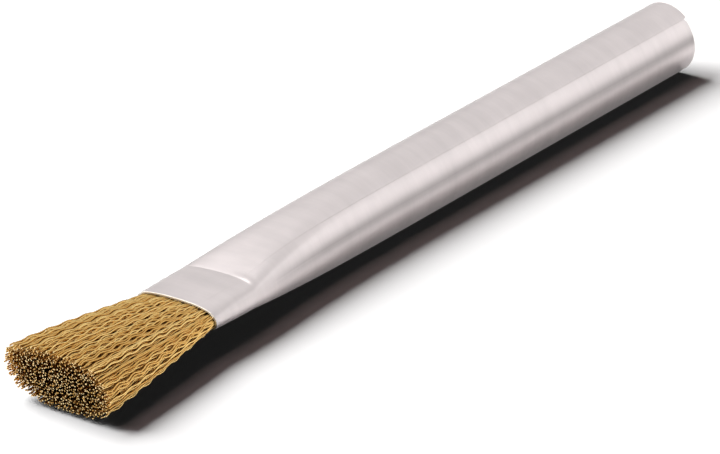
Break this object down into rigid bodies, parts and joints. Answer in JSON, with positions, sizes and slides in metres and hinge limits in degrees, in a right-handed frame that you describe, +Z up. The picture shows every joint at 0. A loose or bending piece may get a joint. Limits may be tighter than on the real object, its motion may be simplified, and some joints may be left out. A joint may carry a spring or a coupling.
{
  "type": "tip cleaning brush",
  "caption": "Hand brush for cleaning tips: a rolled metal tube handle, pressed flat at one end round a fanned tuft of crimped brass wires.",
  "frame": {"origin": "bottom centre of the whole brush's box: the bench it lies on, half way along its length, under the tube's axis", "axes": "+X along the tube from the wires to its open end, +Z up from the bench, +Y across the flat of the pressed end"},
  "size_m": [0.1073, 0.019, 0.0095],
  "materials": {
    "tinned_steel": "satin tin plate",
    "brass_wire": "drawn, crimped wire"
  },
  "bodies": {
    "handle": {"handle_tube": "tinned_steel", "clamped_wires_bottom": "brass_wire", "clamped_wires_middle": "brass_wire", "clamped_wires_top": "brass_wire"},
    "tuft": {"wire_lock_bottom_1": "brass_wire", "wire_lock_bottom_2": "brass_wire", "wire_lock_bottom_3": "brass_wire", "wire_lock_bottom_4": "brass_wire", "wire_lock_bottom_5": "brass_wire", "wire_lock_bottom_6": "brass_wire", "wire_lock_bottom_7": "brass_wire", "wire_lock_bottom_8": "brass_wire", "wire_lock_bottom_9": "brass_wire", "wire_lock_middle_1": "brass_wire", "wire_lock_middle_2": "brass_wire", "wire_lock_middle_3": "brass_wire", "wire_lock_middle_4": "brass_wire", "wire_lock_middle_5": "brass_wire", "wire_lock_middle_6": "brass_wire", "wire_lock_middle_7": "brass_wire", "wire_lock_middle_8": "brass_wire", "wire_lock_middle_9": "brass_wire", "wire_lock_top_1": "brass_wire", "wire_lock_top_2": "brass_wire", "wire_lock_top_3": "brass_wire", "wire_lock_top_4": "brass_wire", "wire_lock_top_5": "brass_wire", "wire_lock_top_6": "brass_wire", "wire_lock_top_7": "brass_wire", "wire_lock_top_8": "brass_wire", "wire_lock_top_9": "brass_wire"}
  },
  "joints": [
    {"name": "bristle_flex", "type": "hinge", "parent": "handle", "child": "tuft", "pos_m": [-0.0352, 0, 0.00476], "axis": [0, 1, 0], "range_deg": [-25, 25], "stiffness_Nm_per_rad": 0.05}
  ]
}
